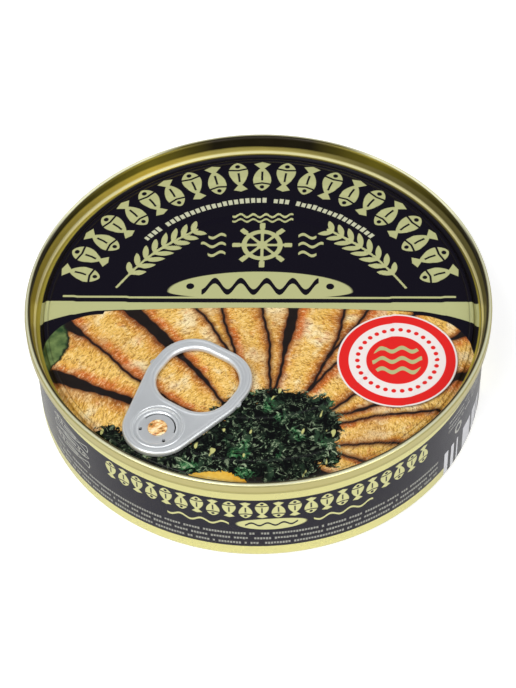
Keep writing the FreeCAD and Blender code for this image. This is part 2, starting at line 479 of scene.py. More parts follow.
# ---- shared patterns --------------------------------------------------------------------------
def make_fish_row():
    """Group: a row of little fish side by side, heads up and down in turn.

    A fish is drawn along t, which is 0 at its nose and 1 at the end of its tail.
    """
    tree, (along, across, pitch, length, width), out = new_group(
        "Fish Row", ["Along", "Across", "Pitch", "Length", "Width"], ["Mask", "Outline"])
    row = along / pitch
    number = row.maths("FLOOR")
    side = abs((row - number - 0.5) * pitch)
    flip = 1.0 - abs(number.maths("MODULO", 2.0)) * 2.0
    t = across * flip / length + 0.5
    swell = unit(t / 0.80)
    belly = highest((swell * math.pi).maths("SINE"), 0.0001).maths("POWER", 0.62)
    body = belly * (1.0 - swell * 0.35) * width * 0.56 - side
    tail = (t - 0.74) * width * 1.75 + width * 0.05 - side
    tail = lowest(tail, (1.0 - t) * length - side * 0.35, (t - 0.72) * length)
    fish = lowest(highest(body, tail), t * length, (1.0 - t) * length)
    eye = length_of((t - 0.13) * length, side) - width * 0.12
    gill = abs(t - 0.27 + side / width * 0.09) * length - width * 0.055
    fin_line = abs(side - width * 0.02) - width * 0.035
    fin_line = highest(fin_line, length * 0.36 - t * length, t * length - length * 0.66)
    fish = lowest(fish, eye, gill, fin_line)
    feed(inked(fish, 0.16), out, "Mask")
    feed(inked(0.13 - abs(fish - 0.1), 0.16), out, "Outline")
    return tree


def make_dashes():
    """Group: lines of short uneven dashes."""
    tree, (along, across, line, dash, fill), out = new_group(
        "Fine Dashes", ["Along", "Across", "Line", "Dash", "Fill"], ["Mask"])
    row = across / line
    row_number = row.maths("FLOOR")
    row_place = (row - row_number) * line
    step = along / dash + row_number * 0.37
    number = step.maths("FLOOR")
    place = (step - number) * dash
    word = (number / 6.0).maths("FLOOR")
    gap = speckle(joined(tree, number - word * 6.0, row_number * 3.0 + word * 7.0))
    kept = fill.maths("GREATER_THAN", gap)
    tall = line * (gap * 0.12 + 0.34)
    stroke = lowest(place - dash * 0.16, dash * 0.86 - place, row_place - line * 0.2,
                    tall + line * 0.2 - row_place)
    feed(inked(stroke, 0.14) * kept, out, "Mask")
    return tree


def make_sheet_wear():
    """Group: slight unevenness of rolled and lacquered sheet, as roughness and height."""
    tree, (vector, scale, base, spread), out = new_group(
        "Sheet Wear", ["Vector", "Scale", "Roughness", "Spread"],
        ["Roughness", "Height", "Tint"])
    place = scaled(vector, scale)
    broad = noise(place, 0.09, 3.0, 0.55)
    fine = noise(place, 1.9, 3.0, 0.6)
    feed(base + (broad - 0.5) * spread + (fine - 0.5) * spread * 0.7, out, "Roughness")
    feed(broad * 0.6 + fine * 0.4, out, "Height")
    feed(broad, out, "Tint")
    return tree


FISH_ROW = make_fish_row()
DASHES = make_dashes()
SHEET_WEAR = make_sheet_wear()


def sheet_wear(place, scale, roughness, spread):
    """Roughness, height and tint of the sheet at each place."""
    return use_group(SHEET_WEAR, place.tree, Vector=place, Scale=scale,
                     Roughness=roughness, Spread=spread)


def dress(shader, colour, roughness, height, strength, depth=0.1):
    """Feeds a shader its colour, its roughness and its fine bump."""
    feed(colour, shader, "Base Color")
    feed(roughness, shader, "Roughness")
    feed(bump(height, strength, depth), shader, "Normal")


# ---- materials --------------------------------------------------------------------------------
def gold_lacquer():
    """Gold-lacquered tinplate of the seam and the chuck wall.

    The wall inside the seam has painted light and shade: a painted dark reflection, darkest at the
    back, above a painted highlight line where it turns in.
    """
    material, tree, shader = new_material("gold_lacquer", Specular_IOR_Level=0.35)
    place = place_mm(tree)
    rough, height, tint = sheet_wear(place, 1.0, 0.30, 0.05)
    x, y, z = parts_of(place)
    radius = length_of(x, y)
    depth = TOP - z
    back = highest(y / SEAM_R, 0.0)
    right = highest(x / SEAM_R, 0.0)
    left = highest(x / -SEAM_R, 0.0)
    side = abs(x / SEAM_R)
    # Painted light on the wall towards both sides of the back.
    glow = above(side, 0.22, 1 / 0.27) * below(side, 0.9, 1 / 0.35) * above(back, 0.0, 4.0)

    # The seam's face: painted shade in a band on the crown's outer turn, and darker from 2 mm down.
    face = mixed(tint, (0.50, 0.45, 0.19), (0.55, 0.49, 0.215))
    face = painted(face, (between(depth, 0.22, 0.42, 0.15), (0.36, 0.33, 0.145)),
                   (inked(depth - 2.0, 0.3), (0.43, 0.385, 0.145)))

    # Bands of painted light and shade down the wall inside the seam: painted dark reflection, olive,
    # painted highlight line, olive again.
    shade_end = 0.35 + back * 2.49 + (tint - 0.5) * 0.5 * back
    highlight_start = 3.1 + back * 0.85
    highlight_end = 4.25 + back * 0.2
    olive = mixed(back, (0.48, 0.36, 0.042), (0.60, 0.50, 0.13))
    # Olive with a painted highlight at the left and painted shade at the right.
    olive = painted(olive, (glow * inked(left - 0.15, 0.2), (0.90, 0.66, 0.09)),
                    (lowest(right * 1.35, 0.75), (0.14, 0.13, 0.06)))
    line = mixed(back, (0.98, 0.86, 0.40), (0.70, 0.67, 0.36))
    dark = mixed(glow, (0.016, 0.012, 0.004), (0.19, 0.155, 0.014))
    wall = painted(dark, (inked(depth - shade_end, 0.5), olive),
                   (inked(depth - highlight_start, 0.35), line), (inked(depth - highlight_end, 0.2), olive))

    inside_wall = inked(SEAM_R - 0.80 - radius, 0.25)
    # Painted highlight on the crest, made less metallic so that it shows.
    crest = between(radius, SEAM_R - 0.72, SEAM_R - 0.28, 0.22) * inked(0.42 - depth, 0.2)
    # Painted highlight on the crest's inner side, towards the back-left and back-right.
    painted_back_highlight = between(radius, SEAM_R - 1.02, SEAM_R - 0.16, 0.2) * inked(0.5 - depth, 0.2)
    painted_back_highlight = painted_back_highlight * above(side, 0.36, 7.0) * above(back, 0.27, 4.0)
    colour = painted(face, (inside_wall, wall), (crest * 0.85, (0.60, 0.61, 0.44)),
                     (painted_back_highlight, (0.80, 0.79, 0.52)))
    feed(1.0 - highest(inside_wall * 0.45, crest * 0.7, painted_back_highlight * 0.9), shader, "Metallic")
    dress(shader, colour, rough + inside_wall * 0.10 + crest * 0.10, height, 0.04)
    return material


def tab_steel():
    """Satin silver-grey sheet of the pull tab."""
    material, tree, shader = new_material("tab_steel", Metallic=0.6, Specular_IOR_Level=0.5)
    rough, height, tint = sheet_wear(place_mm(tree), 1.6, 0.40, 0.10)
    colour = mixed(tint, (0.60, 0.625, 0.635), (0.69, 0.715, 0.725))
    dress(shader, colour, rough, height, 0.25, 0.08)
    return material


def body_print():
    """Label of the wall: gold margins, dark field, khaki fish frieze, dashes, bar block.

    It is laid out in s, the way round the wall to the right, and in depth under the seam's top,
    and the back half repeats the front half.
    """
    material, tree, shader = new_material("body_print", Specular_IOR_Level=0.145)
    place = place_mm(tree)
    x, y, z = parts_of(place)
    half_span = math.pi * BODY_R / 2
    front = x.maths("ARCTAN2", 0.0 - y) * BODY_R
    s = (front + half_span).maths("FLOORED_MODULO", 2 * half_span) - half_span
    depth = TOP - z
    ink_field = between(depth, LABEL_TOP, LABEL_LOW)

    frieze_s = 3.4
    fish_pitch = 3.45
    half_frieze = 11 * fish_pitch
    frieze, _ = use_group(FISH_ROW, tree, Along=s - frieze_s, Across=10.1 - depth,
                          Pitch=fish_pitch, Length=5.5, Width=3.05)
    frieze = frieze * between(s, frieze_s - half_frieze, frieze_s + half_frieze)
    plaque_x = s - 3.6
    plaque_y = depth - 15.1
    off = abs(plaque_x)
    wave = wave_line(plaque_x, plaque_y, 3.4, 0.45, 0.3) * inked(5.6 - off)
    plaque = oval(plaque_x, plaque_y, 7.4, 1.9) * (1.0 - wave)
    side_wave = wave_line(plaque_x, plaque_y, 4.6, 0.55, 0.3) * between(off, 9.0, 22.5)
    khaki = highest(frieze, plaque, side_wave)

    lines, = use_group(DASHES, tree, Along=s, Across=depth - 17.75, Line=1.72, Dash=0.62, Fill=0.86)
    lines = lines * between(s, -53.0, 45.0) * between(depth, 17.7, 22.9)
    notes, = use_group(DASHES, tree, Along=s, Across=depth - 8.1, Line=1.5, Dash=0.6, Fill=0.8)
    notes = notes * between(s, 48.5, 66.0) * between(depth, 8.1, 12.5)
    _, shoal = use_group(FISH_ROW, tree, Along=depth - 8.2, Across=s + 46.4,
                         Pitch=2.75, Length=13.5, Width=2.5)
    shoal = shoal * between(depth, 8.2, 16.4)
    ring = between(length_of(s - 53.0, depth - 14.4), 0.95, 1.6)
    pale = highest(lines * 0.75, notes * 0.75, shoal, ring)

    bars = speckle(joined(tree, (s / 0.62).maths("FLOOR"), 4.0))
    bars = above(bars, 0.52, 40.0) * between(s, 49.0, 73.0)
    block = between(s, 47.5, 74.5) * between(depth, 18.2, 26.4)

    # Painted shade on the rounded corner at the base: greyer gold below 1.1 mm.
    colour = mixed(inked(1.1 - z, 0.6) * 0.7, GOLD, (0.40, 0.40, 0.25))
    colour = painted(colour, (ink_field, SIDE_INK),
                     (pale * ink_field, (0.38, 0.38, 0.33)),
                     (khaki * ink_field, (0.56, 0.55, 0.25)),
                     (block, mixed(bars, (0.62, 0.62, 0.64), INK)))
    bare = 1.0 - highest(ink_field, block)
    feed(bare, shader, "Metallic")
    rough, height, _ = sheet_wear(place, 1.0, 0.22, 0.08)
    dress(shader, colour, rough + bare * 0.06, height, 0.08)
    return material


def sprat_skin(along, across, edge, tone):
    """Smoked golden skin: browned back, pale belly, fine cross wrinkles, dark rim."""
    tree = along.tree
    skin_place = joined(tree, along, across * 5.0, tone * 40.0)
    wrinkle_place = joined(tree, along * 1.5, across * 3.0, tone * 9.0)
    rust_place = joined(tree, along, across * 2.0, tone * 31.0)
    grain_place = joined(tree, along * 2.2, across * 7.0, tone)
    patches = noise(skin_place, 0.17, 3.0, 0.6)
    wrinkles = noise(wrinkle_place, 1.5, 3.0, 0.75, 0.9)
    grain = noise(grain_place, 1.3, 2.0, 0.6)
    colour = ramp((across + (patches - 0.5) * 1.1) * 0.5 + 0.5,
                  (0.0, (0.24, 0.060, 0.012)), (0.13, (0.56, 0.23, 0.035)),
                  (0.32, (0.72, 0.42, 0.080)), (0.56, (0.77, 0.49, 0.125)),
                  (0.78, (0.71, 0.37, 0.062)), (0.93, (0.54, 0.16, 0.025)))
    cream = above(patches, 0.50, 7.0) * inked(0.8 - abs(across), 0.8)
    tan = above(noise(skin_place, 0.09, 1.0), 0.52, 8.0)
    rusty = above(noise(rust_place, 0.13), 0.49, 16.0) * inked(across - 0.52, 0.25)
    spots = above(noise(skin_place, 0.33), 0.63, 14.0)
    skin = painted(colour, (cream * 0.75, (0.86, 0.76, 0.48)), (tan * 0.5, (0.50, 0.24, 0.058)),
                   (highest(rusty * 0.9, spots * 0.4), (0.54, 0.12, 0.018)),
                   (above(wrinkles, 0.52, 7.0) * 0.6, (0.93, 0.77, 0.42)),
                   (below(wrinkles, 0.48, 10.0) * 0.78, (0.22, 0.090, 0.022)),
                   (below(grain, 0.42, 9.0) * 0.45, (0.22, 0.08, 0.020)),
                   (below(edge, 1.25, 1.0) * 0.88, (0.13, 0.036, 0.012)))
    return mixed(inked(edge - 0.28, 0.22), (0.014, 0.009, 0.008), skin)


def herb_leaves(place, edge):
    """Dark curly parsley with lit frills: its colour and its mask."""
    frill = noise(place, 0.56, 5.0, 0.70, 1.7)
    clump = noise(place, 0.16, 2.0, 0.6, 0.6)
    lit = above(clump, 0.45, 7.0)
    blade = above(noise(place, 0.30, 4.0, 0.62, 1.0), 0.53, 14.0) * (lit * 0.7 + 0.3)
    leaf = above(frill, 0.49, 16.0) * (lit * 0.75 + 0.25)
    shine = above(frill, 0.545, 20.0) * (lit * 0.75 + 0.20)
    vivid = above(noise(place, 0.15, 1.0), 0.60, 14.0) * above(frill, 0.47, 10.0)
    tip = above(frill, 0.583, 26.0) * (lit * 0.65 + 0.35)
    x, y, _ = parts_of(place)
    straw_place = joined(place.tree, x * 0.55 + y * 0.75, y * 0.55 - x * 1.5)
    straw = above(noise(straw_place, 0.34, 1.0), 0.70, 26.0)
    colour = mixed(blade, (0.0016, 0.0020, 0.0020), (0.022, 0.046, 0.024))
    colour = painted(colour, (leaf * 0.8, (0.017, 0.036, 0.019)), (shine, (0.095, 0.142, 0.076)),
                     (vivid * 0.9, (0.040, 0.170, 0.058)), (tip * 0.85, (0.34, 0.41, 0.26)),
                     (straw, (0.46, 0.46, 0.17)))
    return colour, inked(edge + (frill - 0.5) * 6.0, 0.25)


def seal_print(x, y):
    """Red and cream roundel with a ring of dots and three waves: its colour and its mask."""
    red = (0.66, 0.017, 0.015)
    cream = (0.75, 0.69, 0.66)
    dot_count = 30
    dot_ring = 8.6
    row_pitch = 2.9
    x = x - SEAL_AT[0]
    y = y - SEAL_AT[1]
    radius = length_of(x, y)
    turn = x.maths("ARCTAN2", y) * (dot_count / (2 * math.pi))
    along = (turn - turn.maths("FLOOR") - 0.5) * (2 * math.pi * dot_ring / dot_count)
    dots = inked(0.52 - length_of(along, radius - dot_ring))
    row = highest(lowest((y / row_pitch).maths("ROUND"), 1.0), -1.0)
    waves = wave_line(x, y - row * row_pitch, 4.4, 0.55, 0.55) * inked(5.4 - radius)
    colour = mixed(between(radius, 6.7, 10.5), red, cream)
    colour = painted(colour, (between(radius, 12.62, 13.2), cream), (dots, red), (waves, KHAKI))
    return colour, inked(13.0 - radius, 0.16)


def upper_field(x, y, radius, ornament):
    """Dark field with an arch of fish, a row of dashes, a thin line and the drawn ornament."""
    tree = x.tree
    turn = x.maths("ARCTAN2", y)
    arch_r = 0.815 * SEAM_R
    fish_pitch = 5.4
    arch, _ = use_group(FISH_ROW, tree, Along=turn * arch_r + fish_pitch / 2,
                        Across=radius - arch_r, Pitch=fish_pitch, Length=9.0, Width=4.6)
    arch = arch * inked(fish_pitch * 10.5 - abs(turn * arch_r))
    dash_r = 0.66 * SEAM_R
    dashes, = use_group(DASHES, tree, Along=turn * dash_r, Across=radius - dash_r + 1.1,
                        Line=3.4, Dash=1.30, Fill=0.88)
    dashes = dashes * between(radius, dash_r - 1.1, dash_r + 1.3)
    dashes = dashes * inked(29.5 - abs(turn * dash_r))
    thin_line = inked(0.28 - abs(y - EDGE_Y - 1.45)) * inked(43.6 - abs(x))
    field = mixed(highest(arch, thin_line, inked(ornament)), INK, KHAKI)
    return mixed(dashes * 0.85, field, (0.60, 0.61, 0.42))


def khaki_band(x, y):
    """Khaki band under the straight edge, deeper towards the sides, on the dark field."""
    beyond = highest(abs(x) - 36.0, 0.0)
    droop = x * x * BAND_BOW + beyond * 0.11 + beyond * beyond * 0.0115
    return mixed(inked(y - (EDGE_Y - BAND_DEEP) + droop), INK, KHAKI)


def food_picture(x, y, lemon):
    """Sprats fanned round a bunch of parsley, with a leaf, a slice of lemon and the roundel."""
    tree = x.tree
    place = joined(tree, x, y)
    along, across, edge = drawn_value(tree, "sprat")
    herb, tone, leaf = drawn_value(tree, "garnish")
    view = mixed(noise(place, 0.5) * 0.5, (0.008, 0.006, 0.006), (0.024, 0.016, 0.012))
    view = mixed(inked(edge, 0.2), view, sprat_skin(along, across, edge, tone))

    leaf = leaf + (noise(place, 0.55) - 0.5) * 1.6
    leaf_light = above(noise(place, 0.30, 3.0), 0.35, 3.0)
    leaf_colour = mixed(leaf_light, (0.020, 0.050, 0.018), (0.17, 0.24, 0.08))
    view = painted(view, (inked(leaf + 0.35, 0.4), (0.012, 0.018, 0.010)),
                   (inked(leaf - 0.2, 0.5), leaf_colour))

    lemon_colour = ramp(lemon / LEMON[2] + (noise(place, 0.9, 3.0) - 0.5) * 0.5,
                        (0.0, (0.66, 0.33, 0.015)), (0.16, (0.70, 0.42, 0.06)),
                        (0.34, (0.76, 0.50, 0.09)), (0.6, (0.80, 0.68, 0.36)))
    herb_colour, herb_mask = herb_leaves(place, herb - highest(lemon, 0.0) * 1.3)
    shadow = inked(12.9 - length_of(x - SEAL_AT[0] - 0.35, y - SEAL_AT[1] + 0.45), 0.6)
    seal_colour, seal_mask = seal_print(x, y)
    # Painted shade under the tab: the print round the rivet made near black.
    painted_tab_shade = inked(4.8 - length_of(x - RIVET_X, y - RIVET_Y))
    return painted(view, (inked(lemon), lemon_colour), (herb_mask, herb_colour),
                   (shadow * 0.8, (0.02, 0.008, 0.006)), (seal_mask, seal_colour),
                   (painted_tab_shade, (0.010, 0.008, 0.008)))


def lid_print():
    """Print of the end: dark ornamented field above, khaki band and picture below, gold edge."""
    material, tree, shader = new_material("end_print", Specular_IOR_Level=0.15)
    place = place_mm(tree)
    x, y, _ = parts_of(place)
    radius = length_of(x, y)
    ornament, picture, lemon = drawn_value(tree, "layout")
    lower = mixed(inked(picture, 0.2), khaki_band(x, y), food_picture(x, y, lemon))
    colour = mixed(inked(y - EDGE_Y), lower, upper_field(x, y, radius, ornament))
    # Gold edge on the countersink's outer wall, narrowed towards the back and the right, where the
    # dark print left in its place is a painted dark reflection.
    gold_width = unit(1.0 - y / 42.0 - highest(x / SEAM_R, 0.0) * 0.6) * 0.70
    gold_wall = inked(radius - SINK_OUTER + gold_width, 0.2)
    # Darker along the score line.
    score = inked(0.13 - abs(radius - SCORE_R))
    colour = painted(colour, (gold_wall, (0.36, 0.295, 0.042)),
                     (score * 0.30, (0.02, 0.018, 0.012)))
    rough, height, _ = sheet_wear(place, 1.0, 0.24, 0.08)
    dress(shader, colour, rough + inked(radius - PANEL_R, 0.3) * 0.30, height, 0.06)
    return material


def rivet_print():
    """The same picture print, stretched over the rivet's head."""
    material, tree, shader = new_material("rivet_print", Specular_IOR_Level=0.4)
    place = place_mm(tree)
    x, y, _ = parts_of(place)
    streaks = noise(joined(tree, x * 0.35 - y * 1.3, x * 0.5 + y * 0.1), 1.1, 3.0, 0.6)
    colour = ramp(streaks,
                  (0.30, (0.05, 0.09, 0.03)), (0.42, (0.55, 0.20, 0.04)),
                  (0.52, (0.85, 0.62, 0.28)), (0.62, (0.90, 0.80, 0.55)),
                  (0.75, (0.70, 0.30, 0.06)))
    rough, height, _ = sheet_wear(place, 2.0, 0.28, 0.1)
    dress(shader, colour, rough, height, 0.1)
    return material


# ---- what is drawn on the end, as distances to its shapes ---------------------------------------
def sprat_fan(x, y):
    """The topmost sprat at each point: millimetres along it, share across it, edge, tone."""
    bearings = [167, 151, 137, 122, 110, 100, 88, 74, 64, 53, 41, 29, 17, 5, -7, -20]
    widths = [12.0, 11.6, 11.2, 9.9, 10.2, 8.8, 8.6, 10.4, 9.6, 9.8, 10.6, 9.4, 9.4, 8.6, 8.8, 8.6]
    bends = [2.0, -1.5, 1.2, -2.0, 1.5, -1.2, 1.0, -1.8, 1.8, -1.2, 1.6, 1.8, -1.4, 1.2, 1.0, -1.0]
    order = [1, 4, 8, 11, 6, 14, 2, 9, 0, 15, 5, 12, 3, 7, 10, 13]
    length = 46.0
    along = np.zeros_like(x)
    across = np.zeros_like(x)
    tone = np.zeros_like(x)
    edge = np.full_like(x, -9.0)
    for number in order:
        angle = math.radians(bearings[number])
        c = math.cos(angle)
        s = math.sin(angle)
        from_x = x - (2.0 + 5.0 * c)
        from_y = y - (-36.0 + 5.0 * s)
        run = from_x * c + from_y * s
        share = np.clip(run / length, 0, 1)
        off = from_y * c - from_x * s
        off = off - bends[number] * np.sin(share * math.pi)
        off = off + 0.20 * np.sin(run * 0.45 + number * 2.1) + 0.09 * np.sin(run * 1.9 + number)
        swell = np.sin(np.minimum(share * 1.35, 1) * math.pi / 2)
        half = widths[number] / 2 * (0.36 + 0.64 * swell)
        reach = np.minimum(half - np.abs(off), run)
        here = reach > 0
        outside = np.where(edge > 0, np.minimum(edge, -reach), np.maximum(edge, reach))
        edge = np.where(here, reach, outside)
        along = np.where(here, run, along)
        across = np.where(here, np.clip(off / half, -1, 1), across)
        tone = np.where(here, (number * 0.618) % 1.0, tone)
    return along, across, edge, tone


def disc(x, y, centre_x, centre_y, radius):
    """Distance inside a disc."""
    return radius - np.hypot(x - centre_x, y - centre_y)


def herb_bunch(x, y):
    """Lobed outline of the parsley: a round bunch and a lower trail towards the left."""
    rng = np.random.default_rng(11)
    bunch_x, bunch_y = BUNCH_AT
    stretch = 1.15
    edge = 10.0 - np.hypot((x - bunch_x) / stretch, y - bunch_y)
    lobes = 30
    for number in range(lobes):
        angle = number / lobes * 2 * math.pi
        reach = 8.6 + 2.6 * rng.random()
        lobe = 1.6 + 1.7 * rng.random()
        lobe_x = bunch_x + reach * stretch * math.cos(angle)
        lobe_y = bunch_y + reach * math.sin(angle)
        edge = np.maximum(edge, disc(x, y, lobe_x, lobe_y, lobe))
    for t in np.linspace(0, 1, 22):
        lobe_x = 2.0 - 33.0 * t
        lobe_y = -40.0 - 3.0 * math.sin(t * math.pi) + 4.0 * t + 1.6 * (rng.random() - 0.5)
        lobe = 4.0 - 1.6 * t + 1.5 * rng.random()
        edge = np.maximum(edge, disc(x, y, lobe_x, lobe_y, lobe))
    for clump in ((-7.5, -28.5, 2.4), (-5.0, -26.5, 2.6), (-9.5, -30.0, 2.0),
                  (-6.0, -34.0, 4.2), (-10.5, -37.0, 3.4), (-14.0, -39.0, 3.0)):
        edge = np.maximum(edge, disc(x, y, *clump))
    return edge


def leaf_shape(x, y, centre, length, width, angle):
    """Distance inside a pointed leaf."""
    c = math.cos(angle)
    s = math.sin(angle)
    u = ((x - centre[0]) * c + (y - centre[1]) * s) / (length / 2)
    v = (y - centre[1]) * c - (x - centre[0]) * s
    past_tip = np.clip(np.abs(u) - 1, 0, None)
    return width / 2 * np.clip(1 - u * u, 0, None) - np.abs(v) - past_tip * 5


def sprig(x, y, side):
    """A stem with pairs of leaves that slants down beside the wheel."""
    shape = np.full_like(x, -20.0)
    for t in np.linspace(0, 1.06, 60):
        shape = np.maximum(shape, disc(x, y, *sprig_point(t, side), 0.30))
    for t in np.linspace(0.06, 0.86, 8):
        stem_x, stem_y = sprig_point(t, side)
        ahead_x, ahead_y = sprig_point(t - 0.05, side)
        heading = math.atan2(ahead_y - stem_y, ahead_x - stem_x)
        length = 3.3 + 1.4 * math.sin(t * math.pi)
        for lean in (-0.72, 0.72):
            angle = heading + lean
            centre = (stem_x + length / 2 * math.cos(angle), stem_y + length / 2 * math.sin(angle))
            shape = np.maximum(shape, leaf_shape(x, y, centre, length, 1.35, angle))
    return shape


def sprig_point(t, side):
    """Place on the sprig's stem, t from its tip to its foot."""
    bulge = 1.5 * math.sin(t * math.pi)
    return side * -(14.5 + 16.5 * t + 0.7 * bulge), 25.0 - 16.5 * t + 0.7 * bulge


def wheel(x, y):
    """A ship's wheel of eight spokes between two sets of waves, with two waves above it."""
    x = x - WHEEL_AT[0]
    y = y - WHEEL_AT[1]
    off = np.abs(x)
    radius = np.hypot(x, y)
    turn = np.arctan2(y, x) * 8 / (2 * math.pi)
    from_spoke = np.abs(turn - np.round(turn)) * 2 * math.pi / 8 * radius
    rim = 0.55 - np.abs(radius - 4.1)
    hub = 1.15 - radius
    spoke = np.minimum(0.34 - from_spoke, 5.2 - radius)
    handle = np.minimum(0.62 - from_spoke, 0.9 - np.abs(radius - 5.9))
    shape = np.maximum.reduce([rim, hub, spoke, handle])
    wave_start = 8.2
    for row in (-1, 0, 1):
        crest = row * 2.7 + 0.6 * np.sin((off - wave_start) * 2 * math.pi / 4.2)
        wave_end = 13.9 - 1.6 * abs(row)
        wave = np.minimum.reduce([0.42 - np.abs(y - crest), off - wave_start, wave_end - off])
        shape = np.maximum(shape, wave)
    for level in (9.0, 7.6):
        crest = level + 0.42 * np.sin(x * 2 * math.pi / 2.9)
        wave = np.minimum(0.30 - np.abs(y - crest), 7.0 - off)
        shape = np.maximum(shape, wave)
    return shape


def oval_plaque(x, y):
    """Khaki oval that stands on the thin line, with a dark wave and two dark dots in it."""
    widest_y = 6.2
    wave_y = 7.8
    x = x - 0.2
    rise = np.where(y > widest_y, (y - widest_y) / 6.0, (widest_y - y) / 2.1)
    plaque = (1 - np.hypot(x / 20.5, rise)) * 4.2
    crest = wave_y + 1.7 * np.sin(x * 2 * math.pi / 5.8)
    off_wave = np.maximum(np.abs(y - crest) - 0.85, np.abs(x) - 13.05)
    off_dots = np.hypot(np.abs(x) - 15.6, y - wave_y) - 0.9
    return np.minimum.reduce([plaque, off_wave, off_dots])


def picture_frame(x, y):
    """Distance inside the picture, which has rounded corners under the khaki band."""
    corner_x, corner_y, corner_r = FRAME_CORNER
    off = np.abs(x)
    upper = EDGE_Y - BAND_DEEP - BAND_BOW * x * x - 0.0016 * np.clip(off - 20, 0, None) ** 2 - y
    corner = corner_r - np.hypot(off - corner_x, y - corner_y)
    in_corner = (off > corner_x) & (y > corner_y)
    return np.minimum(np.where(in_corner, corner, FRAME_SIDE - off), upper)


def draw_on(piece):
    """Stores on the end's points how far each lies inside the shapes of the print."""
    mesh = piece.data
    x, y, _ = read(mesh.vertices, "co", 3).T / MM
    along, across, edge, tone = sprat_fan(x, y)
    ornament = np.maximum.reduce([
        sprig(x, y, 1), sprig(x - 0.8, y, -1), wheel(x, y), oval_plaque(x, y)])
    lemon = disc(x, y, *LEMON)
    leaf = leaf_shape(x, y, (-44.6, -10.5), 14.5, 5.6, math.radians(76))
    store(mesh, "layout", ornament, picture_frame(x, y), lemon)
    store(mesh, "sprat", along, across, edge)
    store(mesh, "garnish", herb_bunch(x, y), tone, leaf)


# ---- points and maps of the meshes --------------------------------------------------------------
def read(items, field, width=1, kind=float):
    """One field of all the items of a mesh; with a width, a row for each item."""
    values = np.zeros(len(items) * width, kind)
    items.foreach_get(field, values)
    return values.reshape(-1, width) if width > 1 else values


def store(mesh, name, *values):
    """Stores three numbers for each point of a mesh."""
    attribute = mesh.attributes.new(name, "FLOAT_VECTOR", "POINT")
    attribute.data.foreach_set("vector", np.stack(values, 1).astype(np.float32).ravel())


def lay_map(mesh, u, v):
    """Stores the map for baking."""
    layer = mesh.uv_layers.new(name="OFBake")
    layer.data.foreach_set("uv", np.stack([u, v], 1).astype(np.float32).ravel())


def corners_of(mesh):
    """For each corner of each face: its place in millimetres, its face's centre, its face's size."""
    points = read(mesh.vertices, "co", 3) / MM
    spots = read(mesh.loops, "vertex_index", kind=int)
    sizes = read(mesh.polygons, "loop_total", kind=int)
    centres = read(mesh.polygons, "center", 3) / MM
    return points[spots], np.repeat(centres, sizes, axis=0), np.repeat(sizes, sizes)


def map_body(piece):
    """Map of the can: the wall as four strips, the base and the hidden top as discs beside them."""
    mesh = piece.data
    points, centres, sizes = corners_of(mesh)
    x, y, z = points.T
    foot_outer = BODY_R - BASE_ROUND
    radius = np.hypot(x, y)
    quarter = np.floor(np.arctan2(centres[:, 1], centres[:, 0]) / (math.pi / 2))
    turn = np.arctan2(y, x) - quarter * math.pi / 2
    along = (turn + math.pi) % (2 * math.pi) - math.pi

    bend = np.arctan2(radius - foot_outer, BASE_ROUND - z)
    bend_length = BASE_ROUND * math.pi / 2
    rise = np.where(z < BASE_ROUND, BASE_ROUND * bend, bend_length + z - BASE_ROUND)
    wall_top = bend_length + SEAM_FOOT - BASE_ROUND
    hidden = (radius < BODY_R - 0.1) & (z > BASE_ROUND)
    rise = np.where(hidden, wall_top + 0.1 + (SEAM_FOOT - z) * 0.1, rise)

    margin = 1.0
    strip = wall_top + 1.8
    side = 4 * strip + margin
    disc_u = 1 - 14.5 / side
    u = (margin + along * BODY_R) / side
    v = (margin + (quarter + 2) * strip + rise) / side
    base = (np.hypot(centres[:, 0], centres[:, 1]) < foot_outer) & (centres[:, 2] < BASE_ROUND)
    top = (sizes > 100) & (centres[:, 2] > BASE_ROUND)
    for chosen, middle_v, share in ((base, 0.25, 0.27), (top, 0.75, 0.2)):
        u = np.where(chosen, disc_u + x * share / side, u)
        v = np.where(chosen, middle_v + y * share / side, v)
    lay_map(mesh, u, v)


def map_panel(piece, stations):
    """Map of the end: seen from above, with the rings of its edge unrolled outwards."""
    mesh = piece.data
    points, _, sizes = corners_of(mesh)
    x, y, z = points.T
    radius = np.hypot(x, y)
    ring_r, ring_z = np.array(stations).T
    lengths = np.hypot(np.diff(ring_r), np.diff(ring_z))
    unrolled = ring_r[0] + np.concatenate([[0.0], np.cumsum(lengths)])
    gap = np.hypot(radius[:, None] - ring_r, z[:, None] - ring_z)
    out = np.where(gap.min(1) < 0.005, unrolled[gap.argmin(1)], radius)
    share = out / radius.clip(1e-6) / (2 * unrolled[-1] + 2)
    under = sizes > 100
    u = np.where(under, 0.93 + x / 800, 0.5 + x * share)
    v = np.where(under, 0.93 + y / 800, 0.5 + y * share)
    lay_map(mesh, u, v)


# ---- pieces -----------------------------------------------------------------------------------
def make_body():
    """Drawn can: base with bead and foot ring, rounded corner, straight wall under the seam."""
    foot_outer = BODY_R - BASE_ROUND
    foot_inner = foot_outer - FOOT_WIDTH
    bead_inner = BEAD_R - BEAD_HALF
    stations = [(6.0, BASE_RECESS), (bead_inner - 1.0, BASE_RECESS), (bead_inner, BASE_RECESS)]
    for t in np.linspace(0, 1, 9)[1:-1]:
        dip = BEAD_DEPTH * math.sin(math.pi * t)
        stations.append((bead_inner + 2 * BEAD_HALF * t, BASE_RECESS - dip))
    stations += [(BEAD_R + BEAD_HALF, BASE_RECESS), (foot_inner - BASE_SLOPE - 0.5, BASE_RECESS),
                 (foot_inner - BASE_SLOPE, BASE_RECESS - 0.05), (foot_inner - 0.2, 0.06),
                 (foot_inner, 0), (foot_outer, 0)]
    stations += arc(foot_outer, BASE_ROUND, BASE_ROUND, -75, 0, 8)
    stations += [(BODY_R, height) for height in (8.0, 14.0, 20.0, SEAM_FOOT)]
    stations += [(BODY_R - 0.25, SEAM_FOOT), (BODY_R - 0.25, PANEL - 2)]
    can = ring_stack(stations, ROUND_SIDES)
    map_body(can)
    return can


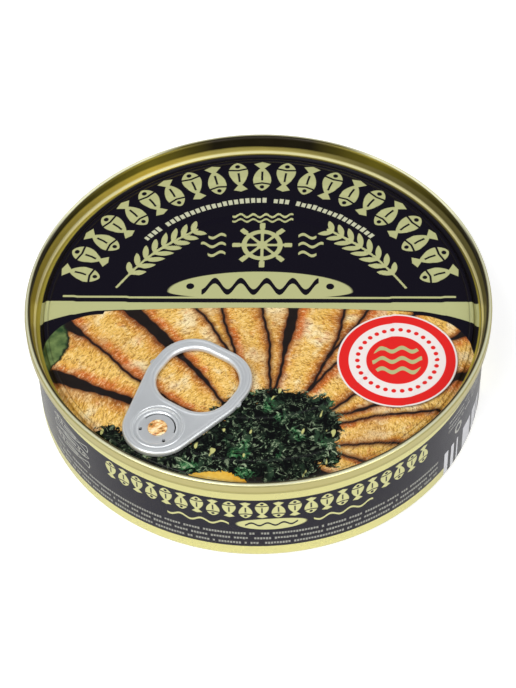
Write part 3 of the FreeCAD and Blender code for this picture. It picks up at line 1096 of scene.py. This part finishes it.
def make_rim():
    """Gold rim: outer wall of the countersink, chuck wall, double seam."""
    sink_z = PANEL - SINK_DEPTH
    round_r = SEAM_THICK / 2
    lip_r = 0.35
    chuck_wall = ((0.10, 0.26), (0.24, 0.50), (0.37, 0.74), (0.45, 1.0), (0.51, 1.5),
                  (0.60, 2.2), (0.70, 2.9))
    stations = [(SINK_OUTER, sink_z + SINK_WIDTH / 2)]
    stations += [(SINK_OUTER + lean, PANEL + rise) for lean, rise in chuck_wall]
    stations += [(SEAM_R - SEAM_THICK - 0.03, TOP - 1.15)]
    stations += arc(SEAM_R - round_r, TOP - round_r, round_r, 180, 0, 15)
    stations += [(SEAM_R - 0.03, TOP - 1.5), (SEAM_R, SEAM_FOOT + 0.5)]
    stations += arc(SEAM_R - lip_r, SEAM_FOOT + lip_r, lip_r, -15, -90, 5)
    stations += [(BODY_R - 0.3, SEAM_FOOT), (SINK_OUTER + 0.65, SEAM_FOOT - 0.2),
                 (SINK_OUTER + 0.35, PANEL), (SINK_OUTER + 0.12, PANEL - 0.1)]
    return ring_stack(stations + stations[:1], ROUND_SIDES, closed=True)


def panel_height(radius):
    """Upper face of the stepped panel."""
    eased = 0
    for step_r in (OUTER_STEP, INNER_STEP):
        t = np.clip((radius - (step_r - STEP_RUN / 2)) / STEP_RUN, 0, 1)
        eased = eased + t * t * (3 - 2 * t)
    return PANEL - STEP_DROP * (2 - eased)


def spread_to_disc(mesh, disc_r):
    """Moves the points of a square grid, 2 wide, to a disc on the stepped panel."""
    a, b, _ = read(mesh.vertices, "co", 3).T
    wide = np.abs(a) > np.abs(b)
    ring = np.where(wide, a, b)
    ratio = np.where(wide, b, a) / np.where(ring == 0, 1, ring)
    angle = np.where(wide, math.pi / 4 * ratio, math.pi / 2 - math.pi / 4 * ratio)
    radius = ring * disc_r
    points = np.stack([radius * np.cos(angle), radius * np.sin(angle),
                       panel_height(np.abs(radius))], 1)
    mesh.vertices.foreach_set("co", (points * MM).ravel())
    mesh.update()


def make_panel():
    """Printed panel: a fine grid drawn out to a disc, then score line, edge and countersink."""
    sink_z = PANEL - SINK_DEPTH
    sink_mid = PANEL_R + SINK_WIDTH / 2
    tear_r = SCORE_R - SCORE_HALF
    stations = [(tear_r, PANEL), (SCORE_R, PANEL - SCORE_DEPTH), (SCORE_R + SCORE_HALF, PANEL),
                (PANEL_R - 0.3, PANEL), (PANEL_R - 0.1, PANEL - 0.08), (PANEL_R, PANEL - 0.28)]
    stations += arc(sink_mid, sink_z + SINK_WIDTH / 2, SINK_WIDTH / 2, 185, 360, 13)
    stations += [(SINK_OUTER + 0.10, sink_z + 0.5), (sink_mid + 0.45, sink_z - 0.12),
                 (sink_mid - 0.6, sink_z - 0.12)]
    clear_selection()
    bpy.ops.mesh.primitive_grid_add(x_subdivisions=PANEL_GRID, y_subdivisions=PANEL_GRID, size=2)
    piece = bpy.context.object
    spread_to_disc(piece.data, tear_r)
    bpy.ops.object.mode_set(mode="EDIT")
    select_outline()
    draw_rings(stations)
    bpy.ops.mesh.edge_face_add()
    turn_outwards()
    map_panel(piece, stations)
    return piece


def mirrored(x, y, radius):
    """A disc on each side of the tab's axis."""
    return [(x, y, radius), (x, -y, radius)]


def make_tab():
    """Ring pull: hull of discs with curled rims, finger hole, well, tongue slot, pin holes."""
    tab = prism(0, TAB_THICK, [(NOSE_X, 0, NOSE_R)]
                + mirrored(SHOULDER_X, RING_HALF - SHOULDER_R, SHOULDER_R)
                + mirrored(RING_END - RING_CORNER, RING_HALF - RING_CORNER, RING_CORNER))
    roll_rims(tab, 0.7)
    hole_far = RING_END - RING_BAND
    hole_half = RING_HALF - RING_BAND
    cut(tab, prism(-1, TAB_THICK + 1,
                   mirrored(hole_far - HOLE_CORNER, hole_half - HOLE_CORNER, HOLE_CORNER)
                   + mirrored(hole_far - HOLE_LENGTH + HOLE_CORNER, hole_half - HOLE_CORNER,
                              HOLE_CORNER)))
    roll_rims(tab, 0.95)
    sink_web(tab)
    cut(tab, lip_ring(), "UNION")
    for side in (-1, 1):
        nub = prism(0.55, TAB_THICK - 0.55, [(NUB_X, side * (RING_HALF - NUB_R / 2), NUB_R)])
        cut(tab, nub, "UNION")
    cut(tab, well_tool())
    cut(tab, tongue_tool())
    for hole in ((PIN_X, -PIN_Y, PIN_R), (PIN_X, PIN_Y, PIN_R), (0, 0, SHANK_R + 0.05)):
        cut(tab, prism(-1, TAB_THICK, [hole]))
    tab.rotation_euler.z = TAB_AZIMUTH + math.pi
    tab.location = (RIVET_X * MM, RIVET_Y * MM, PANEL * MM)
    return tab


def roll_rims(tab, roll):
    """Rounds the sharp rims above by a roll and those below by a small bend."""
    round_edges(tab, lambda height: height > TAB_THICK / 2, roll, 7)
    round_edges(tab, lambda height: height < TAB_THICK / 2, 0.35, 3)


def round_edges(tab, wanted, width, segments):
    """Bevels the level sharp edges whose height is wanted."""
    def sharp(edge):
        start, end = (vertex.co.z for vertex in edge.verts)
        level = abs(start - end) < 1e-7
        corner = len(edge.link_faces) == 2 and edge.calc_face_angle(0) > 0.8
        return level and corner and wanted(start / MM)

    pick_parts(tab, "EDGE", sharp)
    bpy.ops.mesh.bevel(offset=width * MM, segments=segments, profile=0.5)
    bpy.ops.object.mode_set(mode="OBJECT")


def sink_web(tab):
    """Lowers the level top between the curls in two small steps."""
    def level_top(face):
        return face.normal.z > 0.999 and face.calc_center_median().z > (TAB_THICK - 0.01) * MM

    pick_parts(tab, "FACE", level_top)
    for _ in range(2):
        bpy.ops.mesh.inset(thickness=0.20 * MM, depth=-0.09 * MM)
    bpy.ops.object.mode_set(mode="OBJECT")


def well_tool():
    """Turned cutter of the sunken well with its rounded lip."""
    floor = ((2.0, 0.0), (3.95, 0.0), (4.1, 0.06), (4.3, 0.26), (4.5, 0.33), (4.7, 0.28),
             (4.85, 0.30), (5.0, 0.5))
    stations = [(radius, WELL_FLOOR + rise) for radius, rise in floor]
    stations += [(5.1, TAB_THICK - 0.12), (5.25, TAB_THICK + 0.04), (5.5, TAB_THICK + 1)]
    tool = ring_stack(stations, 128)
    tool.location.x = WELL_X * MM
    return tool


def lip_ring():
    """Raised ridge round the well."""
    middle_r = 5.5
    ridge_r = 0.36
    ridge = arc(middle_r, TAB_THICK - ridge_r, ridge_r, 180, 0, 9)
    stations = ridge + [(middle_r + ridge_r, 0.7), (middle_r - ridge_r, 0.7), ridge[0]]
    ring = ring_stack(stations, 128, closed=True)
    ring.location.x = (WELL_X + 0.25) * MM
    return ring


def tongue_tool():
    """C-shaped cutter that frees the tongue: an upright strip spun round the rivet."""
    start = math.radians(78)
    corners = ((TONGUE_R - 0.15, -1), (TONGUE_R + 0.15, -1),
               (TONGUE_R - 0.15, 3), (TONGUE_R + 0.15, 3))
    clear_selection()
    bpy.ops.mesh.primitive_plane_add(size=1)
    tool = bpy.context.object
    for vertex, (radius, height) in zip(tool.data.vertices, corners):
        vertex.co = Vector((radius * math.cos(start), radius * math.sin(start), height)) * MM
    bpy.ops.object.mode_set(mode="EDIT")
    bpy.ops.mesh.select_all(action="SELECT")
    bpy.ops.mesh.spin(steps=40, angle=math.radians(156), center=(0, 0, 0), axis=(0, 0, 1))
    bpy.ops.mesh.select_all(action="SELECT")
    bpy.ops.mesh.remove_doubles(threshold=1e-7)
    turn_outwards()
    return tool


def make_rivet():
    """Coin, shank and domed head of the rivet."""
    coin_r = RIVET_R + 0.5
    seat = PANEL + WELL_FLOOR
    head = seat + RIVET_TALL
    stations = [(coin_r, PANEL - 0.3), (coin_r, PANEL - 0.01), (SHANK_R, PANEL), (SHANK_R, seat),
                (RIVET_R - 0.1, seat + 0.02), (RIVET_R, seat + 0.14), (RIVET_R - 0.05, head - 0.12),
                (RIVET_R - 0.25, head), (RIVET_R - 0.6, head - 0.03), (0.5, head - 0.08)]
    rivet = ring_stack(stations, 64)
    rivet.location = (RIVET_X * MM, RIVET_Y * MM, 0)
    return rivet


# ---- the object -------------------------------------------------------------------------------
gold = gold_lacquer()
body = finished(make_body(), "printed_can", body_print())
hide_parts("tin_body")
panel = make_panel()
draw_on(panel)
finished(panel, "printed_panel", lid_print(), 40)
rim = finished(make_rim(), "gold_rim", gold)
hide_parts("lid")
finished(make_rivet(), "rivet_head", rivet_print())
tab = finished(make_tab(), "ring_pull", tab_steel(), 40)
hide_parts("pull_tab")


# ---- stage, lamps and camera --------------------------------------------------------------------
def light_ray(tree, kind):
    """1 for the rays of one kind, 0 for all others."""
    return Wire(tree, new_node(tree, "LightPath", {}).outputs[kind])


def make_floor():
    """Plain pale floor that looks white."""
    clear_selection()
    bpy.ops.mesh.primitive_plane_add(size=6)
    floor = bpy.context.object
    floor.name = "floor"
    material, tree, shader = new_material(
        "floor_white", Base_Color=(0.82, 0.82, 0.82), Roughness=0.9, Specular_IOR_Level=0.1,
        Emission_Color=(1.0, 1.0, 1.0))
    glow = light_ray(tree, "Is Camera Ray") * 0.44 + light_ray(tree, "Is Glossy Ray") * 0.06
    feed(glow, shader, "Emission Strength")
    floor.data.materials.append(material)


def make_world():
    """White for the camera; for light and gloss, bright near the horizon and darker overhead."""
    world = bpy.data.worlds.new("studio")
    bpy.context.scene.world = world
    world.use_nodes = True
    tree = world.node_tree
    direction = Wire(tree, new_node(tree, "TexCoord", {}).outputs["Generated"])
    _, _, height = parts_of(direction)
    glow = ramp(height, (0.0, (1.0, 1.0, 1.0)), (0.42, (0.90, 0.90, 0.91)),
                (0.64, (0.20, 0.20, 0.22)), (1.0, (0.26, 0.26, 0.28)))
    colour = mixed(light_ray(tree, "Is Glossy Ray"), (0.42, 0.42, 0.43), glow)
    colour = mixed(light_ray(tree, "Is Camera Ray"), colour, (1.0, 1.0, 1.0))
    feed(colour, tree.nodes["Background"], "Color")


def aim(azimuth, elevation):
    """Direction from the tin to a place in front of it; degrees to the right and upwards."""
    a = math.radians(azimuth)
    e = math.radians(elevation)
    return Vector((math.sin(a) * math.cos(e), -math.cos(a) * math.cos(e), math.sin(e)))


def hang(name, data, location, rotation):
    """Puts a lamp or the camera into the scene."""
    holder = bpy.data.objects.new(name, data)
    holder.location = location
    holder.rotation_mode = "QUATERNION"
    holder.rotation_quaternion = rotation
    bpy.context.scene.collection.objects.link(holder)
    return holder


def make_lamp(name, azimuth, elevation, distance, size, watts):
    """Soft round lamp aimed at the tin."""
    back = aim(azimuth, elevation)
    lamp = bpy.data.lights.new(name, "AREA")
    lamp.shape = "DISK"
    lamp.size = size
    lamp.energy = watts
    hang(name, lamp, back * distance, (-back).to_track_quat("-Z", "Y"))


def make_camera():
    """Camera in front of the tin, looking down at fifty degrees, rolled slightly."""
    azimuth = 2.64
    roll = math.radians(1.85)
    distance, shift_left, shift_down = 485.8, 0.33, 10.07
    back = aim(azimuth, 50.009)
    right = Vector((math.cos(math.radians(azimuth)), math.sin(math.radians(azimuth)), 0))
    up = back.cross(right)
    camera = bpy.data.cameras.new("camera")
    camera.lens = 116.14
    camera.sensor_width = 36
    camera.clip_start = 0.01
    place = Vector((0, 0, TOP)) + back * distance - right * shift_left - up * shift_down
    side = right * math.cos(roll) - up * math.sin(roll)
    top = up * math.cos(roll) + right * math.sin(roll)
    turn = Matrix((side, top, back)).transposed().to_quaternion()
    bpy.context.scene.camera = hang("camera", camera, place * MM, turn)


make_floor()
make_world()
make_lamp("key", -38, 52, 0.9, 0.55, 5.4)
make_lamp("fill", 42, 40, 0.9, 0.6, 3.8)
make_camera()
bpy.context.scene.view_settings.view_transform = "Standard"
